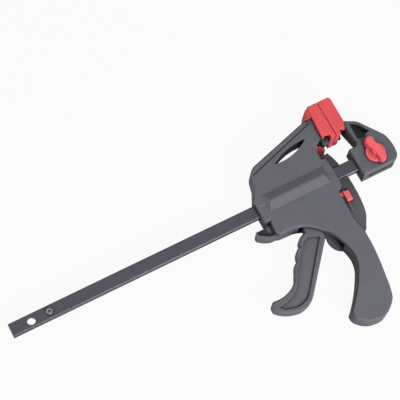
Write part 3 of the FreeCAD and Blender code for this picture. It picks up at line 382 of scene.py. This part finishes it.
# Finishes
def moulded(name, colour, roughness, grain, relief, edge=0.35, crease=0.22, hollow=0.62, gloss=0.3,
            marks=()):
    """Plastic or rubber with a fine moulded grain, soft cloudy tone, painted highlights on sharp edges and
    painted shade in corners.

    edge is how far sharp edges are painted pale as a highlight; crease and hollow are the parts of the
    colour that are left as painted shade in narrow corners and in wide hollows. marks are pairs of a
    function that gives a share and the part of the colour that is left there; all of them paint shade but
    the parting line.
    """
    material, tree, shader = new_material(name)
    place = object_place(tree)
    clouds = noise(tree, place, CLOUD_SIZE, 4.0)
    specks = noise(tree, place, SPECK_SIZE, 2.0)
    grains = noise(tree, place, grain, 2.0, 0.6)
    base = blend_colours(tree, spread(tree, clouds, 0.3, 0.7, 0.0, 1.0), times(colour, 0.93),
                         times(colour, 1.06))
    base = blend_colours(tree, spread(tree, specks, 0.56, 0.72, 0.0, 0.35), base,
                         times(colour, SPECK_GAIN))
    # Painted highlight on sharp edges, patchy with the clouds
    soft, edge_highlight_share = edge_share(tree, EDGE_ROUND_HIGHLIGHT_RADIUS)
    patchy_edge_highlight = product(tree, edge_highlight_share, spread(tree, clouds, 0.35, 0.65, 0.25, edge))
    base = blend_colours(tree, patchy_edge_highlight, base, times(colour, EDGE_HIGHLIGHT_GAIN))
    # Painted shade in wide hollows and in narrow creases
    base = blend_colours(tree, crease_shade_share(tree, HOLLOW_REACH, 0.35, 0.9), base, times(colour, hollow))
    base = blend_colours(tree, crease_shade_share(tree, CREASE_REACH), base, times(colour, crease))
    for share_of, left in marks:
        base = blend_colours(tree, share_of(tree), base, times(colour, left))
    tree.links.new(base, shader.inputs["Base Color"])
    tree.links.new(spread(tree, clouds, 0.3, 0.7, roughness - 0.05, roughness + 0.06),
                   shader.inputs["Roughness"])
    shader.inputs["Specular IOR Level"].default_value = gloss
    bump = node(tree, "ShaderNodeBump", {"Height": grains, "Strength": 0.55, "Distance": relief,
                                         "Normal": soft})
    tree.links.new(bump.outputs["Normal"], shader.inputs["Normal"])
    return material


def steel(name, colour, roughness, stretch, metallic, edge_highlight_colour, flanks=False):
    """Metal with drawn scratches along stretch, spots, painted highlights on its edges and painted shade in
    its corners.
    """
    material, tree, shader = new_material(name)
    streaks = noise(tree, object_place(tree, stretch), STREAK_SIZE, 4.0, 0.6)
    clouds = noise(tree, object_place(tree), SPOT_SIZE, 4.0)
    base = blend_colours(tree, spread(tree, streaks, 0.35, 0.65, 0.0, 1.0), times(colour, 0.85),
                         times(colour, 1.2))
    base = blend_colours(tree, spread(tree, clouds, 0.45, 0.75, 0.0, 0.5), base, times(colour, 0.75))
    # Painted highlight on sharp edges
    soft, edge_highlight_share = edge_share(tree, METAL_EDGE_RADIUS)
    if flanks:
        # On the bar: painted shade on its narrow sides, and a painted highlight on its bevels that comes in
        # patches and fades towards the back
        side, edge_highlight_share = bar_flanks(tree)
        base = blend_colours(tree, side, base, times(colour, BAR_SIDE_SHADE))
        patches = spread(tree, clouds, 0.3, 0.7, 0.5, 0.8)
        towards_jaw = spread(tree, object_parts(tree)["X"], BAR_MIDDLE, HOUSING_FRONT, 0.28, 1.0)
        edge_highlight_share = product(tree, edge_highlight_share, patches, towards_jaw)
    base = blend_colours(tree, edge_highlight_share, base, edge_highlight_colour)
    # Painted shade in the metal's corners
    base = blend_colours(tree, crease_shade_share(tree, METAL_CREASE_REACH), base, times(colour, 0.5))
    tree.links.new(base, shader.inputs["Base Color"])
    tree.links.new(spread(tree, streaks, 0.3, 0.7, roughness - 0.06, roughness + 0.1),
                   shader.inputs["Roughness"])
    shader.inputs["Metallic"].default_value = metallic
    bump = node(tree, "ShaderNodeBump", {"Height": streaks, "Strength": 0.35, "Distance": SCRATCH_DEPTH,
                                         "Normal": soft})
    tree.links.new(bump.outputs["Normal"], shader.inputs["Normal"])
    return material


# Marks in these finishes are painted shade, apart from the parting line, which is a dark joint
MATERIALS = {
    "grey_body": moulded("grey_body_plastic", BODY_GREY, 0.56, 0.42 * MM, 0.05 * MM, edge=0.6,
                         hollow=0.3, marks=[(foot_slit_shade_share, 0.08)]),
    "grey_housing": moulded("grey_housing_plastic", BODY_GREY, 0.56, 0.42 * MM, 0.05 * MM, edge=0.6,
                            hollow=0.5, marks=[(near_bar_shade_share, 0.3), (hook_web_shade_share, 0.25),
                                   (grip_inside_shade_share, 0.38), (parting_share, 0.3)]),
    "grey_rib": moulded("grey_rib_plastic", BODY_GREY, 0.5, 0.42 * MM, 0.03 * MM, edge=0.7, crease=0.85),
    "grey_lever": moulded("grey_lever_plastic", LEVER_GREY, 0.55, 0.42 * MM, 0.05 * MM),
    "red_pad": moulded("red_pad_rubber", PAD_RED, 0.52, 0.55 * MM, 0.04 * MM, edge=0.12, crease=0.3,
                       marks=[(hood_back_shade_share, 0.62)]),
    "red_control": moulded("red_control_plastic", CONTROL_RED, 0.34, 0.6 * MM, 0.025 * MM, edge=0.2,
                           crease=0.7, gloss=0.6),
    "red_button": moulded("red_button_plastic", BUTTON_RED, 0.34, 0.6 * MM, 0.025 * MM, edge=0.4,
                          crease=0.8, gloss=0.6),
    "bar_steel": steel("bar_black_steel", BAR_BLACK, 0.38, (0.03, 1.0, 1.0), 0.25,
                       (0.22, 0.21, 0.23, 1.0), flanks=True),
    "pin_steel": steel("stop_pin_steel", PIN_STEEL, 0.36, (1.0, 1.0, 0.1), 0.9, (0.62, 0.60, 0.61, 1.0)),
    "bright_steel": steel("zinc_steel", ZINC, 0.32, (1.0, 1.0, 0.1), 1.0, (0.75, 0.75, 0.76, 1.0)),
    "spring_steel": steel("oiled_spring_steel", SPRING_GREY, 0.34, (0.2, 1.0, 1.0), 1.0,
                          (0.5, 0.5, 0.52, 1.0)),
}
FINISHES = {"near_housing": "grey_housing", "far_housing": "grey_housing", "bar_stop_pin": "pin_steel"}


def give_material(thing, finish):
    thing.data.materials.clear()
    thing.data.materials.append(MATERIALS[finish])


def dress_frame():
    """Every carried over piece gets a finish of its own or that of its material slot."""
    for part in frame["record"]["subparts"]:
        thing = frame["nodes"][part["node"]]
        give_material(thing, FINISHES.get(part["node"], part["material_slot"]))


# Mesh helpers, in millimetres
def add_prism(builder, points, low, high):
    """A closed block with the outline points, between two levels."""
    levels = [[builder.verts.new(Vector((x, y, level)) * MM) for x, y in points] for level in (low, high)]
    builder.faces.new(list(reversed(levels[0])))
    builder.faces.new(levels[1])
    for index in range(len(points)):
        after = (index + 1) % len(points)
        builder.faces.new((levels[0][index], levels[0][after], levels[1][after], levels[1][index]))


def add_rings(builder, rings):
    """A closed skin through rings of points, capped at both ends."""
    loops = [[builder.verts.new(Vector(point) * MM) for point in ring] for ring in rings]
    for first, second in zip(loops, loops[1:]):
        for index in range(len(first)):
            after = (index + 1) % len(first)
            builder.faces.new((first[index], first[after], second[after], second[index]))
    builder.faces.new(list(reversed(loops[0])))
    builder.faces.new(loops[-1])


def circle_ring(radius, level, steps=48):
    angles = [2 * math.pi * index / steps for index in range(steps)]
    return [(radius * math.cos(angle), radius * math.sin(angle), level) for angle in angles]


def to_mesh(builder, name):
    bmesh.ops.recalc_face_normals(builder, faces=builder.faces)
    mesh = bpy.data.meshes.new(name)
    builder.to_mesh(mesh)
    builder.free()
    return mesh


def melt(mesh, voxel, rounds, tool=None):
    """One skin from overlapping blocks, with soft edges; tool is a mesh that is cut out of it."""
    source = bpy.data.objects.new("melt_source", mesh)
    bpy.context.scene.collection.objects.link(source)
    remesh = source.modifiers.new("remesh", "REMESH")
    remesh.mode = "VOXEL"
    remesh.voxel_size = voxel * MM
    soften = source.modifiers.new("soften", "SMOOTH")
    soften.factor = 0.5
    soften.iterations = rounds
    cutter = None
    if tool:
        cutter = bpy.data.objects.new("melt_tool", tool)
        bpy.context.scene.collection.objects.link(cutter)
        bore = source.modifiers.new("bore", "BOOLEAN")
        bore.operation = "DIFFERENCE"
        bore.object = cutter
    bpy.context.view_layer.update()
    made = bpy.data.meshes.new_from_object(source.evaluated_get(bpy.context.evaluated_depsgraph_get()))
    for thing in (source, cutter):
        if thing:
            bpy.data.objects.remove(thing)
    for face in made.polygons:
        face.use_smooth = True
    return made


def new_piece(name, mesh, body, slot, *nodes, finish=None):
    """A piece of the visual model that rides on a body and may stand for frame nodes.

    finish names the material, where it isn't that of the slot.
    """
    mesh.name = name
    thing = bpy.data.objects.new(name, mesh)
    bpy.context.scene.collection.objects.link(thing)
    give_material(thing, finish or slot)
    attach(thing, body)
    if nodes:
        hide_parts(*nodes)
    return thing


# Pads
def from_clamp(points):
    return [(CLAMP + x, y) for x, y in points]


def add_plate(builder, side):
    """The clamping plate of one pad, whose face stands a step proud of its rim."""
    near, far = sorted((side * SEAM_STEP, side * PAD_PLATE))
    add_prism(builder, from_clamp([(near, PAD_FOOT), (far, PAD_FOOT), (far, PAD_TOP), (near, PAD_TOP)]),
              -PAD_HALF, PAD_HALF)
    low, high = sorted((0, side * PAD_PLATE))
    foot = PAD_FOOT + SEAM_STEP
    crown = PAD_TOP - SEAM_STEP
    add_prism(builder, from_clamp([(low, foot), (high, foot), (high, crown), (low, crown)]),
              SEAM_STEP - PAD_HALF, PAD_HALF - SEAM_STEP)


def make_moving_pad():
    builder = bmesh.new()
    add_plate(builder, -1)
    add_prism(builder, from_clamp(MOVING_CAP), -PAD_HALF, PAD_HALF)
    for side in (1, -1):
        for outline, outer in ((NEAR_FLANGE, PAD_HALF), (HOOD_SIDE, HOOD_HALF)):
            span = sorted((side * PAD_INNER_HALF, side * outer))
            add_prism(builder, from_clamp(outline), *span)
    add_prism(builder, from_clamp(HOOD_BACK), -HOOD_HALF, HOOD_HALF)
    add_prism(builder, from_clamp(THROAT_TAB), -HOOD_HALF, TAB_TOP)
    mesh = melt(to_mesh(builder, "moving_pad_blocks"), PAD_VOXEL, 3)
    new_piece("moving_pad_rubber", mesh, "carriage", "red_pad", "moving_jaw_pad")


def make_tip_web():
    """The web of the moving jaw's tip, seen under the pad."""
    builder = bmesh.new()
    add_prism(builder, from_clamp(TIP_WEB), TIP_WEB_LOW, TIP_WEB_HIGH)
    mesh = melt(to_mesh(builder, "tip_web_block"), PAD_VOXEL, 2)
    new_piece("jaw_tip_web", mesh, "carriage", "grey_body")


def make_fixed_pad():
    builder = bmesh.new()
    add_plate(builder, 1)
    add_prism(builder, from_clamp(FIXED_CAP), -PAD_HALF, PAD_HALF)
    for side in (1, -1):
        span = sorted((side * PAD_INNER_HALF, side * PAD_HALF))
        add_prism(builder, from_clamp(FIXED_FLANGE), *span)
    mesh = melt(to_mesh(builder, "fixed_pad_blocks"), PAD_VOXEL, 3)
    new_piece("fixed_pad_rubber", mesh, "bar", "red_pad", "fixed_jaw_pad")


# Lock knob
def wing_ring(level, share):
    """The wing's outline at one level, drawn in or out by share across and by a part of it along."""
    middle_x, middle_y = WING_MIDDLE
    along = 1 - (1 - share) * WING_END_SHARE
    return [(middle_x + (x - middle_x) * share, middle_y + (y - middle_y) * along, level)
            for x, y in WING_OUTLINE]


def make_knob():
    builder = bmesh.new()
    for profile in (KNOB_DOME, KNOB_BOSS):
        add_rings(builder, [circle_ring(radius, level) for radius, level in profile])
    add_rings(builder, [wing_ring(level, share) for level, share in WING_LEVELS])
    bore = bmesh.new()
    bore_levels = (KNOB_FOOT - KNOB_BORE_OVERRUN, KNOB_BORE_TOP)
    add_rings(bore, [circle_ring(KNOB_BORE_RADIUS, level, KNOB_BORE_STEPS) for level in bore_levels])
    joints = frame["record"]["behaviour"]["joints"]
    axis = next(joint for joint in joints if joint["name"] == "lock_knob_turn")["pos_m"]
    for mesh_builder in (builder, bore):
        mesh_builder.transform(Matrix.Translation(axis))
    mesh = melt(to_mesh(builder, "knob_blocks"), KNOB_VOXEL, 3, to_mesh(bore, "knob_bore"))
    new_piece("knob_moulding", mesh, "knob", "red_control", "lock_knob")


# Release button
def make_button():
    low, high = [corner / MM for corner in BUTTON_BOX]
    crown_x = high.x - BUTTON_CROWN
    builder = bmesh.new()
    crown = [(crown_x, low.y), (high.x, low.y + BUTTON_FOOT_RISE), (high.x, high.y - BUTTON_HEAD_DROP),
             (crown_x, high.y)]
    add_prism(builder, crown, low.z + BUTTON_RIB, high.z - BUTTON_RIB)
    stem_foot = high.y - BUTTON_STEM_HEIGHT
    stem_end = crown_x + BUTTON_STEM_LAP
    stem = [(low.x, stem_foot), (stem_end, stem_foot), (stem_end, high.y), (low.x, high.y)]
    add_prism(builder, stem, -BUTTON_STEM_HALF, BUTTON_STEM_HALF)
    foot = low.y + BUTTON_RIB_FOOT
    head = high.y - BUTTON_RIB_HEAD
    for index in range(BUTTON_RIBS):
        left = crown_x + BUTTON_RIB_START + BUTTON_RIB_PITCH * index
        right = left + BUTTON_RIB_WIDTH
        add_prism(builder, [(left, foot), (right, foot), (right, head), (left, head)], low.z, high.z)
    mesh = melt(to_mesh(builder, "button_blocks"), BUTTON_VOXEL, 2)
    new_piece("button_moulding", mesh, "button", "red_control", "release_button", finish="red_button")


# Rib that guides the thumb to the button
def make_guide_rib():
    builder = bmesh.new()
    outline = [(RIB_LEFT - RIB_LEAN, RIB_FOOT), (RIB_RIGHT - RIB_LEAN, RIB_FOOT), (RIB_RIGHT, RIB_TOP),
               (RIB_LEFT, RIB_TOP)]
    add_prism(builder, outline, RIB_LOW, RIB_LEVEL)
    mesh = melt(to_mesh(builder, "rib_blocks"), RIB_VOXEL, 1)
    new_piece("button_guide_ribs", mesh, "carriage", "grey_body", finish="grey_rib")


# Floor, lights and camera
def make_floor():
    mesh = bpy.data.meshes.new("floor")
    corners = [(-1, -1), (1, -1), (1, 1), (-1, 1)]
    mesh.from_pydata([(FLOOR_HALF * x, FLOOR_HALF * y, FLOOR_LEVEL) for x, y in corners], [], [(0, 1, 2, 3)])
    floor = bpy.data.objects.new("floor", mesh)
    bpy.context.scene.collection.objects.link(floor)
    material, tree, shader = new_material("floor_paper")
    fibres = noise(tree, object_place(tree), FLOOR_GRAIN, 5.0)
    shade = blend_colours(tree, fibres, FLOOR_COLOUR, FLOOR_LIGHT_COLOUR)
    tree.links.new(shade, shader.inputs["Base Color"])
    shader.inputs["Roughness"].default_value = 0.9
    glow = node(tree, "ShaderNodeEmission", {"Color": (1.0, 1.0, 1.0, 1.0), "Strength": 1.0})
    rays = node(tree, "ShaderNodeLightPath").outputs
    seen = math_of(tree, rays["Is Camera Ray"], FLOOR_GLOW, "MULTIPLY")
    mirrored = math_of(tree, rays["Is Glossy Ray"], WORLD_GLOSS, "MULTIPLY")
    share = math_of(tree, seen, mirrored)
    mixed = node(tree, "ShaderNodeMixShader", {0: share, 1: shader.outputs["BSDF"],
                                               2: glow.outputs["Emission"]})
    tree.links.new(mixed.outputs["Shader"], tree.nodes["Material Output"].inputs["Surface"])
    mesh.materials.append(material)


def make_world():
    world = bpy.data.worlds.new("studio")
    bpy.context.scene.world = world
    world.use_nodes = True
    tree = world.node_tree
    rays = node(tree, "ShaderNodeLightPath").outputs
    seen = spread(tree, rays["Is Camera Ray"], 0.0, 1.0, WORLD_LEVEL, 1.0)
    mirrored = math_of(tree, rays["Is Glossy Ray"], WORLD_GLOSS, "MULTIPLY")
    tree.nodes["Background"].inputs["Color"].default_value = (1.0, 1.0, 1.0, 1.0)
    tree.links.new(math_of(tree, seen, mirrored), tree.nodes["Background"].inputs["Strength"])


def add_lamp(name, way, size, power):
    centre = (CAD_BOX[0] + CAD_BOX[1]) / 2
    lamp = bpy.data.lights.new(name, "AREA")
    lamp.shape = "DISK"
    lamp.size = size
    lamp.energy = power
    thing = bpy.data.objects.new(name, lamp)
    bpy.context.scene.collection.objects.link(thing)
    thing.location = centre + way
    thing.rotation_euler = (-way).to_track_quat("-Z", "Y").to_euler()


def make_camera():
    data = bpy.data.cameras.new("camera")
    data.lens = CAMERA_LENS
    data.sensor_width = SENSOR
    camera = bpy.data.objects.new("camera", data)
    bpy.context.scene.collection.objects.link(camera)
    turn = Matrix((CAMERA_RIGHT, CAMERA_UP, CAMERA_BACK)).transposed().to_4x4()
    camera.matrix_world = Matrix.Translation(CAMERA_PLACE) @ turn
    bpy.context.scene.camera = camera


dress_frame()
make_moving_pad()
make_tip_web()
make_fixed_pad()
make_knob()
make_button()
make_guide_rib()
make_floor()
make_world()
add_lamp("key_lamp", KEY_WAY, KEY_SIZE, KEY_POWER)
add_lamp("top_lamp", TOP_WAY, TOP_SIZE, TOP_POWER)
add_lamp("fill_lamp", FILL_WAY, FILL_SIZE, FILL_POWER)
make_camera()
bpy.context.scene.view_settings.view_transform = "Standard"
